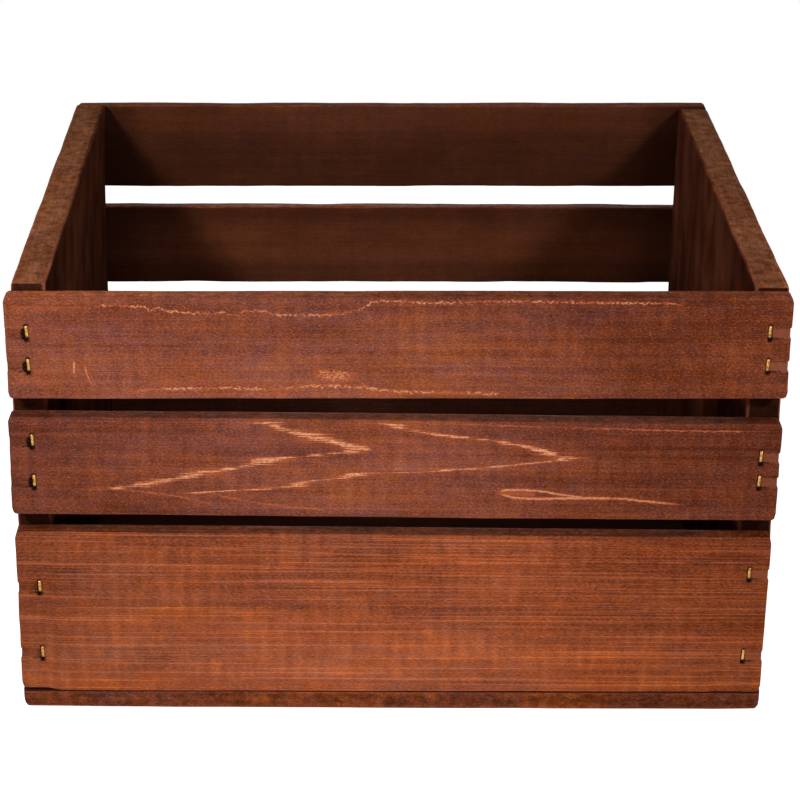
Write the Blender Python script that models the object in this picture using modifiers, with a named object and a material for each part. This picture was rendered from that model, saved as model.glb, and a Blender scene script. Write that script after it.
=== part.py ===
"""Wooden half crate: two solid end boards, three slats front and back, a boarded floor, wire staples.

Metres, +Z up. The origin is at the centre of the underside, +X runs along the slats and the
slatted front faces -Y. Each slat and floor board is modelled in its own board frame: x along the
grain, y from the outer face inwards, z across the grain.
"""

import math
from typing import NamedTuple

import bmesh
import bpy
from mathutils import Matrix, Vector

# Overall size, outside the boards
WIDTH = 0.3196
DEPTH = 0.282

# Board stock
END_THICKNESS = 0.0145
SLAT_THICKNESS = 0.008
FLOOR_THICKNESS = 0.008
TOP_SLAT_HEIGHT = 0.0445
MIDDLE_SLAT_HEIGHT = 0.0442
WIDE_SLAT_HEIGHT = 0.0742
BACK_TOP_SLAT_HEIGHT = 0.0426
BACK_MIDDLE_SLAT_HEIGHT = 0.041

# Spacing of the front slats, from the rim down
FRONT_RIM_DROP = 0.0022
FRONT_UPPER_GAP = 0.0098
FRONT_LOWER_GAP = 0.0082

# Spacing of the back slats: the middle one divides the free height in this share
BACK_RIM_DROP = 0.0004
BACK_UPPER_GAP_SHARE = 0.44

# Floor boards run along the crate, side by side across its depth
FLOOR_BOARD_COUNT = 3
FLOOR_GAP = 0.0075

# Hand-nailed boards: rise of the right end above the left, shift to the right, how far the narrow
# front slats reach past the end boards, and how far the left end board is set in at the front
TOP_SLAT_RISE = 0.0018
MIDDLE_SLAT_RISE = -0.0017
BOTTOM_SLAT_RISE = -0.0014
BACK_TOP_SLAT_RISE = 0.0022
BACK_MIDDLE_SLAT_RISE = 0.0013
TOP_SLAT_SHIFT = 0.0003
MIDDLE_SLAT_SHIFT = -0.0005
BOTTOM_SLAT_SHIFT = -0.0009
FLOOR_SHIFT = -0.0008
NARROW_SLAT_OVERHANG = 0.0002
LEFT_END_TOE = 0.002

# Eased edges of the boards
CORNER_ROUND = 0.0025
CORNER_SEGMENTS = 3
ARRIS_ROUND = 0.0011
END_ARRIS_ROUND = 0.0018
ARRIS_SEGMENTS = 2
ARRIS_ANGLE = math.radians(40)

# Narrow-crown staple, bent from flattened wire
STAPLE_CROWN = 0.0057
STAPLE_LEG = 0.022
STAPLE_POINT = 0.0016
STAPLE_SHOULDER = 0.0009
STAPLE_SHOULDER_SEGMENTS = 3
WIRE_DEPTH = 0.001
WIRE_WIDTH = 0.00125
STAPLE_SINK = 0.0004
STAPLE_LEAN = math.radians(2.5)
FLOOR_STAPLE_INSET = 0.030
LEFT_STAPLE_INSET = 0.0087
RIGHT_STAPLE_INSET = 0.0081
BOTTOM_RIGHT_STAPLE_INSET = 0.0095

# Mark that the stapler's nose presses between a staple and the board's end
NOSE_MARK_HEIGHT = 0.0064
NOSE_MARK_DEPTH = 0.0009

# Clearances between pieces that touch
FIT_GAP = 0.0003
CUT_MARGIN = 0.002
WELD_DISTANCE = 1e-6

# Sizes that follow from the ones above
LOWEST_SLAT_SEAT = FIT_GAP + abs(BOTTOM_SLAT_RISE) / 2
END_HEIGHT = (
    FRONT_RIM_DROP + TOP_SLAT_HEIGHT + FRONT_UPPER_GAP + MIDDLE_SLAT_HEIGHT
    + FRONT_LOWER_GAP + WIDE_SLAT_HEIGHT + LOWEST_SLAT_SEAT
)
END_BASE = FLOOR_THICKNESS + FIT_GAP
RIM = END_BASE + END_HEIGHT
END_LENGTH = DEPTH - 2 * (SLAT_THICKNESS + FIT_GAP)
END_MIDDLE = WIDTH / 2 - END_THICKNESS / 2
FLOOR_BOARD_WIDTH = (DEPTH - (FLOOR_BOARD_COUNT - 1) * FLOOR_GAP) / FLOOR_BOARD_COUNT

# Staple rows, as shares of the board's height from its top edge
EVEN_STAPLES = (0.32, 0.68)
TOP_SLAT_STAPLES = {"left": (0.344, 0.670), "right": (0.344, 0.672)}
MIDDLE_SLAT_STAPLES = {"left": (0.242, 0.658), "right": (0.339, 0.595)}
BOTTOM_SLAT_STAPLES = {"left": (0.348, 0.772), "right": (0.229, 0.759)}
BACK_SLAT_STAPLES = {"left": EVEN_STAPLES, "right": EVEN_STAPLES}

SIDE_SIGN = {"left": -1, "right": 1}
END_TOES = {"left": LEFT_END_TOE, "right": 0.0}
STAPLE_INSETS = {"left": LEFT_STAPLE_INSET, "right": RIGHT_STAPLE_INSET}
BOTTOM_STAPLE_INSETS = {"left": LEFT_STAPLE_INSET, "right": BOTTOM_RIGHT_STAPLE_INSET}

# Finishes: linear colour, roughness, metallic
END_STAIN = ((0.098, 0.035, 0.018), 0.62, 0.0)
SLAT_STAIN = ((0.168, 0.052, 0.023), 0.55, 0.0)
FLOOR_STAIN = ((0.085, 0.032, 0.017), 0.66, 0.0)
WIRE_FINISH = ((0.72, 0.49, 0.19), 0.34, 1.0)


class Board(NamedTuple):
    """A stapled board: its size in the board frame, its place in the crate and its staples.

    Its hand is 1 where the board frame's x runs to the crate's right and -1 where it runs left. Its
    shift is how far to the right its middle is. Its insets are how far in from the crate's sides its
    staples are.
    """

    name: str
    length: float
    height: float
    thickness: float
    place: Matrix
    hand: int
    shift: float
    insets: dict
    staples: dict


def clear_scene():
    """Removes every object that the scene starts with."""
    for obj in list(bpy.data.objects):
        bpy.data.objects.remove(obj)


def new_collection(name):
    """Returns a new collection linked to the scene."""
    collection = bpy.data.collections.new(name)
    bpy.context.scene.collection.children.link(collection)
    return collection


def new_finish(name, finish):
    """Returns a Principled material of the given colour, roughness and metallic value."""
    colour, roughness, metallic = finish
    material = bpy.data.materials.new(name)
    material.use_nodes = True
    shader = material.node_tree.nodes["Principled BSDF"]
    shader.inputs["Base Color"].default_value = (*colour, 1.0)
    shader.inputs["Roughness"].default_value = roughness
    shader.inputs["Metallic"].default_value = metallic
    material.diffuse_color = (*colour, 1.0)
    return material


def mesh_of(name, bm):
    """Writes a bmesh to a new mesh with its faces pointing out, and frees it."""
    bmesh.ops.recalc_face_normals(bm, faces=bm.faces)
    mesh = bpy.data.meshes.new(name)
    bm.to_mesh(mesh)
    bm.free()
    return mesh


def block_mesh(name, size):
    """A plain block of the given size, centred on its own origin."""
    bm = bmesh.new()
    bmesh.ops.create_cube(bm, size=1)
    bmesh.ops.scale(bm, vec=size, verts=bm.verts)
    return mesh_of(name, bm)


def board_mesh(name, length, thickness, height):
    """A board centred on its own origin, with its four corners rounded as seen on its face."""
    bm = bmesh.new()
    bmesh.ops.create_cube(bm, size=1)
    bmesh.ops.scale(bm, vec=(length, thickness, height), verts=bm.verts)
    corners = [
        edge for edge in bm.edges
        if abs(edge.verts[0].co.y - edge.verts[1].co.y) > thickness / 2
    ]
    bmesh.ops.bevel(
        bm, geom=corners, offset=CORNER_ROUND, segments=CORNER_SEGMENTS, profile=0.5,
        affect="EDGES", clamp_overlap=True,
    )
    return mesh_of(name, bm)


def staple_outline(clearance, rise):
    """Points of a staple's U outline: x across the crown, y down the legs.

    The outline grows by the clearance on every side, and its crown reaches further out by the rise.
    """
    outer = STAPLE_CROWN / 2 + clearance
    inner = STAPLE_CROWN / 2 - WIRE_DEPTH - clearance
    top = -clearance - rise
    tip = STAPLE_LEG + clearance
    shoulder = STAPLE_SHOULDER + clearance
    right = [
        (inner, WIRE_DEPTH + clearance),
        (inner, tip - STAPLE_POINT),
        (outer, tip),
    ]
    for step in range(STAPLE_SHOULDER_SEGMENTS + 1):
        angle = math.pi / 2 * step / STAPLE_SHOULDER_SEGMENTS
        right.append((
            outer - shoulder + shoulder * math.cos(angle),
            top + shoulder - shoulder * math.sin(angle),
        ))
    return right + [(-x, y) for x, y in reversed(right)]


def staple_mesh(name, clearance=0.0, rise=0.0):
    """A staple in the board frame: crown along z, legs along +y, its crown's top at y = 0."""
    outline = bpy.data.curves.new(name, "CURVE")
    outline.dimensions = "2D"
    outline.fill_mode = "BOTH"
    outline.extrude = WIRE_WIDTH / 2 + clearance
    points = staple_outline(clearance, rise)
    spline = outline.splines.new("POLY")
    spline.points.add(len(points) - 1)
    for point, (x, y) in zip(spline.points, points):
        point.co = (x, y, 0, 1)
    spline.use_cyclic_u = True
    flat = bpy.data.objects.new(name, outline)
    bpy.context.scene.collection.objects.link(flat)
    graph = bpy.context.evaluated_depsgraph_get()
    solid = bpy.data.meshes.new_from_object(flat.evaluated_get(graph))
    bpy.data.objects.remove(flat)
    bm = bmesh.new()
    bm.from_mesh(solid)
    bmesh.ops.remove_doubles(bm, verts=bm.verts, dist=WELD_DISTANCE)
    bmesh.ops.rotate(bm, verts=bm.verts, matrix=Matrix.Rotation(-math.pi / 2, 3, "Y"))
    return mesh_of(name, bm)


def repeated_mesh(name, pieces):
    """One mesh that holds a copy of each (mesh, place) pair."""
    bm = bmesh.new()
    for mesh, place in pieces:
        copy = mesh.copy()
        copy.transform(place)
        bm.from_mesh(copy)
        bpy.data.meshes.remove(copy)
    return mesh_of(name, bm)


def new_part(collection, name, mesh, material, parent, place):
    """A named part with its own material, placed in its parent's frame."""
    mesh.materials.clear()
    mesh.materials.append(material)
    part = bpy.data.objects.new(name, mesh)
    collection.objects.link(part)
    part.parent = parent
    part.matrix_basis = place
    return part


def ease_edges(part, width):
    """Rounds the sharp edges of a board."""
    bevel = part.modifiers.new("eased_edges", "BEVEL")
    bevel.width = width
    bevel.segments = ARRIS_SEGMENTS
    bevel.limit_method = "ANGLE"
    bevel.angle_limit = ARRIS_ANGLE


def cut(part, collection, name, mesh):
    """Cuts a mesh, given in the part's own frame, out of a part."""
    cutter = bpy.data.objects.new(name, mesh)
    collection.objects.link(cutter)
    cutter.parent = part
    cutter.hide_render = True
    cutter.display_type = "WIRE"
    difference = part.modifiers.new(name, "BOOLEAN")
    difference.operation = "DIFFERENCE"
    difference.object = cutter


def staple_along(board, side):
    """Where a staple is along the board: over the end board, whatever the board's shift."""
    middle = SIDE_SIGN[side] * (WIDTH / 2 - board.insets[side])
    return board.hand * (middle - board.shift)


def staple_place(board, side, share):
    """A staple's place in the board frame: over the end board, sunk in the outer face."""
    sign = SIDE_SIGN[side] * board.hand
    seat = Vector((staple_along(board, side), STAPLE_SINK, board.height * (0.5 - share)))
    return Matrix.Translation(seat) @ Matrix.Rotation(sign * STAPLE_LEAN, 4, "Y")


def nose_mark_place(board, side, share, mark_length):
    """A nose mark's place in the board frame: from the staple's middle past the board's end."""
    middle = staple_along(board, side) + SIDE_SIGN[side] * board.hand * mark_length / 2
    depth = NOSE_MARK_DEPTH - (NOSE_MARK_DEPTH + CUT_MARGIN) / 2
    return Matrix.Translation((middle, depth, board.height * (0.5 - share)))


def tilt_of(rise):
    """The turn that raises a slat's right end by the rise."""
    return Matrix.Rotation(-math.atan2(rise, WIDTH), 4, "Y")


def front_place(middle_height, rise, shift):
    """The frame of a front slat, tilted in its own plane by its rise."""
    return Matrix.Translation((shift, -DEPTH / 2, middle_height)) @ tilt_of(rise)


def back_place(middle_height, rise):
    """The frame of a back slat: its outer face looks along +Y."""
    turn = Matrix.Rotation(math.pi, 4, "Z")
    return Matrix.Translation((0, DEPTH / 2, middle_height)) @ tilt_of(rise) @ turn


def floor_place(middle_depth):
    """The frame of a floor board: its outer face looks down."""
    turn = Matrix.Rotation(math.pi / 2, 4, "X")
    return Matrix.Translation((FLOOR_SHIFT, middle_depth, 0)) @ turn


def front_slats():
    """The three front slats, from the rim down."""
    rows = (
        ("top", TOP_SLAT_HEIGHT, FRONT_RIM_DROP, TOP_SLAT_RISE, TOP_SLAT_SHIFT,
         NARROW_SLAT_OVERHANG, STAPLE_INSETS, TOP_SLAT_STAPLES),
        ("middle", MIDDLE_SLAT_HEIGHT, FRONT_UPPER_GAP, MIDDLE_SLAT_RISE, MIDDLE_SLAT_SHIFT,
         NARROW_SLAT_OVERHANG, STAPLE_INSETS, MIDDLE_SLAT_STAPLES),
        ("bottom", WIDE_SLAT_HEIGHT, FRONT_LOWER_GAP, BOTTOM_SLAT_RISE, BOTTOM_SLAT_SHIFT,
         0.0, BOTTOM_STAPLE_INSETS, BOTTOM_SLAT_STAPLES),
    )
    boards = []
    edge = RIM
    for row, height, gap_above, rise, shift, overhang, insets, staples in rows:
        edge -= gap_above + height
        place = front_place(edge + height / 2, rise, shift)
        boards.append(
            Board(f"front_{row}_slat", WIDTH + 2 * overhang, height, SLAT_THICKNESS, place, 1,
                  shift, insets, staples)
        )
    return boards


def back_slats():
    """The three back slats: one under the rim, one on the floor and one between them."""
    bottom_middle = END_BASE + WIDE_SLAT_HEIGHT / 2
    top_edge = RIM - BACK_RIM_DROP - BACK_TOP_SLAT_HEIGHT
    free = (
        END_HEIGHT - BACK_RIM_DROP - BACK_TOP_SLAT_HEIGHT - BACK_MIDDLE_SLAT_HEIGHT
        - WIDE_SLAT_HEIGHT
    )
    between = top_edge - BACK_UPPER_GAP_SHARE * free - BACK_MIDDLE_SLAT_HEIGHT / 2
    rows = (
        ("top", BACK_TOP_SLAT_HEIGHT, top_edge + BACK_TOP_SLAT_HEIGHT / 2, BACK_TOP_SLAT_RISE),
        ("middle", BACK_MIDDLE_SLAT_HEIGHT, between, BACK_MIDDLE_SLAT_RISE),
        ("bottom", WIDE_SLAT_HEIGHT, bottom_middle, 0.0),
    )
    return [
        Board(f"back_{row}_slat", WIDTH, height, SLAT_THICKNESS, back_place(middle, rise), -1,
              0.0, STAPLE_INSETS, BACK_SLAT_STAPLES)
        for row, height, middle, rise in rows
    ]


def floor_boards():
    """The floor boards, numbered from the front."""
    inset = FLOOR_STAPLE_INSET / FLOOR_BOARD_WIDTH
    staples = {side: (inset, 1 - inset) for side in SIDE_SIGN}
    first = -DEPTH / 2 + FLOOR_BOARD_WIDTH / 2
    pitch = FLOOR_BOARD_WIDTH + FLOOR_GAP
    return [
        Board(f"floor_board_{number + 1}", WIDTH, FLOOR_BOARD_WIDTH, FLOOR_THICKNESS,
              floor_place(first + number * pitch), 1, FLOOR_SHIFT, STAPLE_INSETS, staples)
        for number in range(FLOOR_BOARD_COUNT)
    ]


def build_stapled_board(board, finishes, root, parts, cutters, wire, hole):
    """Builds a board with its staples. Returns each staple's (side, place in the crate)."""
    mesh = board_mesh(board.name, board.length, board.thickness, board.height)
    mesh.transform(Matrix.Translation((0, board.thickness / 2, 0)))
    part = new_part(parts, board.name, mesh, finishes[0], root, board.place)
    ease_edges(part, ARRIS_ROUND)

    reach = min(abs(staple_along(board, side)) for side in board.staples)
    mark_length = board.length / 2 - reach + CUT_MARGIN
    mark = block_mesh(
        "nose_mark", (mark_length, NOSE_MARK_DEPTH + CUT_MARGIN, NOSE_MARK_HEIGHT)
    )
    marks, holes, driven = [], [], []
    for side, shares in board.staples.items():
        for number, share in enumerate(shares, start=1):
            place = staple_place(board, side, share)
            marks.append((mark, nose_mark_place(board, side, share, mark_length)))
            holes.append((hole, place))
            driven.append((side, board.place @ place))
            name = f"{board.name}_staple_{side}_{number}"
            new_part(parts, name, wire, finishes[1], part, place)
    cut(part, cutters, f"{board.name}_nose_marks", repeated_mesh("nose_marks", marks))
    cut(part, cutters, f"{board.name}_staple_holes", repeated_mesh("staple_holes", holes))
    return driven


def build_end_board(side, finish, root, parts, cutters, hole, driven):
    """Builds one end board, with blind holes for the staples that hold it."""
    mesh = board_mesh(f"{side}_end_board", END_LENGTH, END_THICKNESS, END_HEIGHT)
    sign, toe = SIDE_SIGN[side], END_TOES[side]
    turn = Matrix.Rotation(math.pi / 2 - sign * math.atan2(toe, END_LENGTH), 4, "Z")
    middle = Vector((sign * (END_MIDDLE - toe / 2), 0, END_BASE + END_HEIGHT / 2))
    place = Matrix.Translation(middle) @ turn
    part = new_part(parts, f"{side}_end_board", mesh, finish, root, place)
    ease_edges(part, END_ARRIS_ROUND)
    holes = [(hole, place.inverted() @ staple) for at, staple in driven if at == side]
    cut(part, cutters, f"{side}_end_staple_holes", repeated_mesh("end_staple_holes", holes))


def main():
    """Builds the crate."""
    clear_scene()
    parts = new_collection("half_crate")
    cutters = new_collection("cutters")
    root = bpy.data.objects.new("half_crate", None)
    parts.objects.link(root)

    end_stain = new_finish("end_board_stain", END_STAIN)
    slat_stain = new_finish("slat_stain", SLAT_STAIN)
    floor_stain = new_finish("floor_stain", FLOOR_STAIN)
    wire_finish = new_finish("staple_wire", WIRE_FINISH)

    wire = staple_mesh("staple")
    hole = staple_mesh("staple_hole", clearance=FIT_GAP, rise=CUT_MARGIN)
    driven = []
    for boards, stain in (
        (front_slats(), slat_stain), (back_slats(), slat_stain), (floor_boards(), floor_stain),
    ):
        for board in boards:
            driven += build_stapled_board(
                board, (stain, wire_finish), root, parts, cutters, wire, hole
            )
    for side in SIDE_SIGN:
        build_end_board(side, end_stain, root, parts, cutters, hole, driven)


main()
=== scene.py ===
"""Looks of the half crate: worn boards of stained pine, held by wire staples.

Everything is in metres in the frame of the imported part: +X along the slats, +Y from the slatted
front to the back, +Z up. A board frame has x along the grain, y from the outer face inwards and
z across the grain. Wood figure is written in millimetres of the board frame.
"""

from __future__ import annotations

import logging
import math
from dataclasses import dataclass, field, replace
from enum import Enum
from functools import partial, reduce
from typing import Any, NamedTuple, Sequence, Union

import bmesh
import bpy
import numpy as np
from mathutils import Matrix, Vector

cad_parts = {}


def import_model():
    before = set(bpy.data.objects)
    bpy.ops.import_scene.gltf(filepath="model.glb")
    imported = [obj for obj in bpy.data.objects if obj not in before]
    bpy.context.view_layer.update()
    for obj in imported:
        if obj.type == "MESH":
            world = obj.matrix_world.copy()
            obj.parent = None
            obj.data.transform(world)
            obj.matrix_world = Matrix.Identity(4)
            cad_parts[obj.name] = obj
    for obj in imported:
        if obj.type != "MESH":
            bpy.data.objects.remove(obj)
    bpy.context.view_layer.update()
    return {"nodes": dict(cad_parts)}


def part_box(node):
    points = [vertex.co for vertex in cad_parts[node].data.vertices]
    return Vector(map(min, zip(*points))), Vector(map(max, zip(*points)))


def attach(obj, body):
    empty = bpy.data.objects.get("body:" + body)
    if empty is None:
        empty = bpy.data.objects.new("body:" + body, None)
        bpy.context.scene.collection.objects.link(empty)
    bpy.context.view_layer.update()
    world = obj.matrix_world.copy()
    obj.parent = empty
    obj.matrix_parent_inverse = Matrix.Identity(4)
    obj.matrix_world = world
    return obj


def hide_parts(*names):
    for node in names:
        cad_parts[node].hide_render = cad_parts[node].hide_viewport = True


LOG = logging.getLogger("half_crate")

Socket = bpy.types.NodeSocket
Source = Union[float, tuple, Socket]
Point = tuple[float, float]

MM = 0.001
WHITE = (1, 1, 1, 1)

# Distance between the planer's marks, in millimetres
PLANER_STEP = 7.1
# Levels of a noise whose contours show as growth rings
RING_LEVELS = (0.42, 0.5, 0.58)
# How much brighter the late wood is than it is drawn
LATE_GAIN = 1.3
# Places of a stain's dark, middle, light and brightest colour on its ramp, and of a tone of 1
TONE_STOPS = (0.12, 0.4, 0.68, 0.96)
TONE_SCALE = 0.8
# Offset between the figures of boards whose seeds differ by one
BOARD_SHIFT = 37.0
# Offset between the noises of a board's tone and those of its hue
HUE_SHIFT = 61.0
# Longest and shortest wave of a board's worn edges, its outline and its ends, in metres
BITE_WAVES = (0.09, 0.008)
OUTLINE_WAVES = (0.4, 0.02)
END_WAVES = (0.05, 0.006)


class Texture(NamedTuple):
    """How fine a noise is on a board: features per millimetre in each direction, and detail."""

    along: float
    into: float
    across: float
    detail: float = 2.0


FLECK = Texture(0.35, 1.0, 1.2, 3.0)
BAND = Texture(0.004, 0.2, 0.3)
BLOTCH = Texture(0.018, 0.05, 0.05)
PATCH = Texture(0.13, 0.1, 0.2, 3.0)
CHATTER = Texture(0.26, 0.02, 0.03, 1.0)
PORE = Texture(0.018, 0.8, 1.3)
GLEAM = Texture(0.006, 0.6, 1.0)
FIBRE = Texture(0.02, 0.4, 2.2, 3.0)
JAG = Texture(0.5, 0.4, 0.4, 4.0)
GAP = Texture(0.07, 0.1, 0.12, 3.0)
DOT = Texture(0.7, 0.5, 1.2)
DASH = Texture(0.07, 0.4, 2.0, 3.0)
HUE_GRIT = Texture(1.0, 1.2, 1.4, 3.0)
HUE_PATCH = Texture(0.09, 0.1, 0.2, 3.0)
HUE_DRIFT = Texture(0.016, 0.05, 0.07)
HUE_STRIPE = Texture(0.005, 0.2, 0.35, 3.0)
KERF = Texture(0.2, 0.25, 0.25, 4.0)
SAW_TOOTH = Texture(0.05, 0.05, 0.03, 3.0)
SPLINTER = Texture(0.3, 0.3, 0.3, 4.0)


def srgb(red: int, green: int, blue: int) -> tuple[float, float, float, float]:
    """Turns a display colour into the linear colour that a shader takes.

    Args:
        red: Red, 0 to 255.
        green: Green, 0 to 255.
        blue: Blue, 0 to 255.

    Returns:
        Linear red, green and blue, and an alpha of 1.
    """
    linear = []
    for value in (red, green, blue):
        part = value / 255
        linear.append(part / 12.92 if part <= 0.04045 else ((part + 0.055) / 1.055) ** 2.4)
    return (linear[0], linear[1], linear[2], 1.0)


def ease(values: np.ndarray, low: float, high: float) -> np.ndarray:
    """Eases from 0 at low to 1 at high; low may be the larger of the two."""
    share = np.clip((values - low) / (high - low), 0, 1)
    return share * share * (3 - 2 * share)


@dataclass(frozen=True)
class Wobble:
    """A gentle uneven wave, as a sawn edge has.

    Attributes:
        amplitude: About how far it strays, in metres.
        longest: Its longest wave, in metres.
        shortest: Its shortest wave, in metres.
        seed: Which of all such waves it is.
    """

    amplitude: float
    longest: float
    shortest: float
    seed: int

    def at(self, places: np.ndarray) -> np.ndarray:
        """Adds up the wave.

        Args:
            places: Places along it, in metres.

        Returns:
            Its height at each place.
        """
        draw = np.random.default_rng(self.seed)
        lengths = np.geomspace(self.longest, self.shortest, 7)
        weights = lengths / self.longest
        phases = draw.uniform(0, 2 * math.pi, len(lengths))
        total = np.zeros_like(places)
        for length, weight, phase in zip(lengths, weights, phases):
            total += weight * np.sin(2 * math.pi * places / length + phase)
        return self.amplitude * total / math.sqrt(float(np.sum(weights**2)) / 2)


class Graph:
    """Builds the nodes of a material or of the surround."""

    def __init__(self, tree: bpy.types.NodeTree) -> None:
        """Starts on a node tree."""
        self.tree = tree

    def feed(self, socket: Socket, source: Source) -> None:
        """Links a socket to a source, or sets it where the source is a plain value.

        Args:
            socket: The socket.
            source: What it gets.
        """
        if isinstance(source, bpy.types.NodeSocket):
            self.tree.links.new(source, socket)
        else:
            socket.default_value = source

    def add(
        self, kind: str, inputs: dict[Union[int, str], Source], **settings: str
    ) -> bpy.types.Node:
        """Adds a node.

        Args:
            kind: Its kind.
            inputs: What its inputs get, by number or name.
            settings: Its settings, by name.

        Returns:
            The node.
        """
        node = self.tree.nodes.new(f"ShaderNode{kind}")
        for name, value in settings.items():
            setattr(node, name, value)
        for key, source in inputs.items():
            self.feed(node.inputs[key], source)
        return node

    def math(self, operation: str, first: Source, second: Source = 0.0) -> Socket:
        """Works out an operation, such as MULTIPLY, on two values."""
        return self.add("Math", {0: first, 1: second}, operation=operation).outputs[0]

    def total(self, *terms: Source) -> Socket:
        """Adds up any number of values."""
        return reduce(partial(self.math, "ADD"), terms)

    def times(self, *terms: Source) -> Socket:
        """Multiplies any number of values."""
        return reduce(partial(self.math, "MULTIPLY"), terms)

    def highest(self, *terms: Source) -> Socket:
        """Gives the highest of any number of values."""
        return reduce(partial(self.math, "MAXIMUM"), terms)

    def swing(self, source: Source, weight: float) -> Socket:
        """Centres a value of 0 to 1 on zero and gives it a weight."""
        return self.times(self.math("SUBTRACT", source, 0.5), weight)

    def part(self, source: Source, share: float) -> Socket:
        """Gives 1 for a share of 0, the value itself for a share of 1, and between them else."""
        return self.total(self.times(source, share), 1.0 - share)

    def smooth(self, value: Source, low: float, high: float) -> Socket:
        """Eases from 0 at low to 1 at high; low may be the larger of the two."""
        inputs = {
            "Value": value, "From Min": min(low, high), "From Max": max(low, high),
            "To Min": float(low > high), "To Max": float(low < high),
        }
        return self.add("MapRange", inputs, interpolation_type="SMOOTHSTEP").outputs["Result"]

    def line(self, value: Source, points: Sequence[Point]) -> Socket:
        """Draws a smooth line through points.

        Args:
            value: Where on the line, in the points' first coordinate.
            points: The points, with their first coordinates rising.

        Returns:
            The line's second coordinate there.
        """
        first, last = points[0][0], points[-1][0]
        heights = [height for _, height in points]
        low, high = min(heights), max(heights)
        span = max(high - low, 1e-3)
        share = self.math("DIVIDE", self.math("SUBTRACT", value, first), last - first)
        node = self.add("FloatCurve", {"Value": share})
        curve = node.mapping.curves[0]
        spots = [((x - first) / (last - first), (height - low) / span) for x, height in points]
        curve.points[0].location = spots[0]
        curve.points[-1].location = spots[-1]
        for spot in spots[1:-1]:
            curve.points.new(*spot)
        node.mapping.update()
        return self.total(self.times(node.outputs["Value"], span), low)

    def ramp(self, value: Socket, stops: Sequence[tuple[float, tuple]]) -> Socket:
        """Adds a Color Ramp.

        Args:
            value: Where on the ramp, 0 to 1.
            stops: Its positions and their colours.

        Returns:
            The colour there.
        """
        node = self.add("ValToRGB", {"Fac": value})
        elements = node.color_ramp.elements
        elements[0].position, elements[0].color = stops[0]
        elements[1].position, elements[1].color = stops[-1]
        for position, colour in stops[1:-1]:
            elements.new(position).color = colour
        return node.outputs["Color"]

    def blend(self, factor: Source, first: Source, second: Source, mode: str = "MIX") -> Socket:
        """Blends a share of a second colour into a first one, in the Mix node's given mode."""
        inputs = {0: factor, 6: first, 7: second}
        return self.add("Mix", inputs, data_type="RGBA", blend_type=mode).outputs[2]

    def tint(self, first: Source, second: Source) -> Socket:
        """Multiplies two colours."""
        return self.blend(1.0, first, second, "MULTIPLY")

    def attribute(self, name: str, output: str = "Fac") -> Socket:
        """Reads an attribute of the mesh."""
        return self.add("Attribute", {}, attribute_name=name).outputs[output]

    def vector(self, x: Source, y: Source, z: Source) -> Socket:
        """Joins three values into a vector."""
        return self.add("CombineXYZ", {0: x, 1: y, 2: z}).outputs[0]

    def scale(self, vector: Socket, factor: float) -> Socket:
        """Scales a vector."""
        return self.add("VectorMath", {0: vector, "Scale": factor}, operation="SCALE").outputs[0]

    def noise(self, vector: Socket, detail: float, roughness: float = 0.5) -> Socket:
        """Adds a Noise texture whose features are about one unit of its vector in size."""
        inputs = {"Vector": vector, "Scale": 1.0, "Detail": detail, "Roughness": roughness}
        return self.add("TexNoise", inputs).outputs["Fac"]

    def seen(self) -> Socket:
        """Gives 1 where the camera, a gloss or glass sees a surface, and 0 for its light."""
        rays = self.add("LightPath", {}).outputs
        kinds = ("Is Camera Ray", "Is Glossy Ray", "Is Transmission Ray")
        return self.highest(*(rays[kind] for kind in kinds))


class Finish(Graph):
    """The graph of a material around its Principled shader."""

    def __init__(self, name: str) -> None:
        """Starts a material of the given name."""
        self.material = bpy.data.materials.new(name)
        self.material.use_nodes = True
        super().__init__(self.material.node_tree)
        self.shader = self.tree.nodes["Principled BSDF"]

    def coat(self, colour: Socket, roughness: Socket) -> None:
        """Gives the shader its colour and roughness."""
        self.feed(self.shader.inputs["Base Color"], colour)
        self.feed(self.shader.inputs["Roughness"], roughness)

    def bump(self, height: Socket, strength: float, distance: float) -> None:
        """Gives the shader a bumpy normal."""
        inputs = {"Strength": strength, "Distance": distance, "Height": height}
        self.feed(self.shader.inputs["Normal"], self.add("Bump", inputs).outputs["Normal"])


class BoardFinish(Finish):
    """The graph of a wood finish, which knows where on its board it is.

    Attributes:
        place: The place along, into and across the board, in millimetres.
        shift: The board's own offset, so that no two boards share their figure.
    """

    def __init__(self, name: str) -> None:
        """Starts a material of the given name."""
        super().__init__(name)
        place = self.scale(self.attribute("grain", "Vector"), 1 / MM)
        self.place = tuple(self.add("SeparateXYZ", {0: place}).outputs)
        self.shift = self.times(self.attribute("plank"), BOARD_SHIFT)

    def figure(self, texture: Texture, offset: float = 0.0) -> Socket:
        """Adds a noise drawn out along the grain, turned so that its own grid does not show.

        Args:
            texture: How fine it is.
            offset: How far it is from other noises of like texture.

        Returns:
            The noise, 0 to 1.
        """
        along, into, across = (self.times(*pair) for pair in zip(self.place, texture))
        along = self.total(along, self.total(self.shift, offset))
        turned = self.total(along, self.times(across, 0.5))
        risen = self.math("SUBTRACT", across, self.times(along, 0.5))
        return self.noise(self.vector(turned, into, risen), texture.detail)

    def stroke(self, away: Socket, width: float, reach: float, glow: float) -> Socket:
        """Draws a line's bright core and its halo.

        Args:
            away: The distance from the middle of the line.
            width: Half width of the core.
            reach: Half width of the halo.
            glow: How bright the halo is.

        Returns:
            How bright it is there, 0 to 1.
        """
        core = self.smooth(away, width, width * 0.2)
        return self.highest(core, self.times(self.smooth(away, reach, 0.0), glow))


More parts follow.
